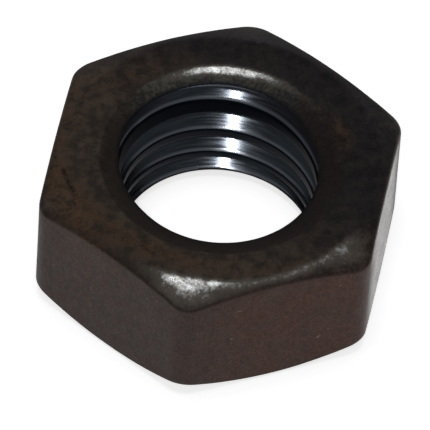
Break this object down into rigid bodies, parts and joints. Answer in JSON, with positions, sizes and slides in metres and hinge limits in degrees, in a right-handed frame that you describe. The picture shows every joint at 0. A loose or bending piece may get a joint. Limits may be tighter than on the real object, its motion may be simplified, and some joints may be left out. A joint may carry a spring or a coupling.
{
  "type": "hex jam nut",
  "caption": "Low hexagonal nut with both faces chamfered, a countersink at each mouth and a coarse right-hand internal thread.",
  "frame": {"origin": "centre of the lower bearing face, on the thread axis", "axes": "+Z along the thread axis, up out of the upper bearing face; +X towards one corner of the hexagon, +Y square to one pair of flats"},
  "size_m": [0.0214, 0.0188, 0.0082],
  "materials": {
    "dark_steel": "dark brown-black oxide, satin on the outside and polished by the tap inside"
  },
  "bodies": {
    "root": {"hex_nut": "dark_steel"}
  },
  "joints": []
}
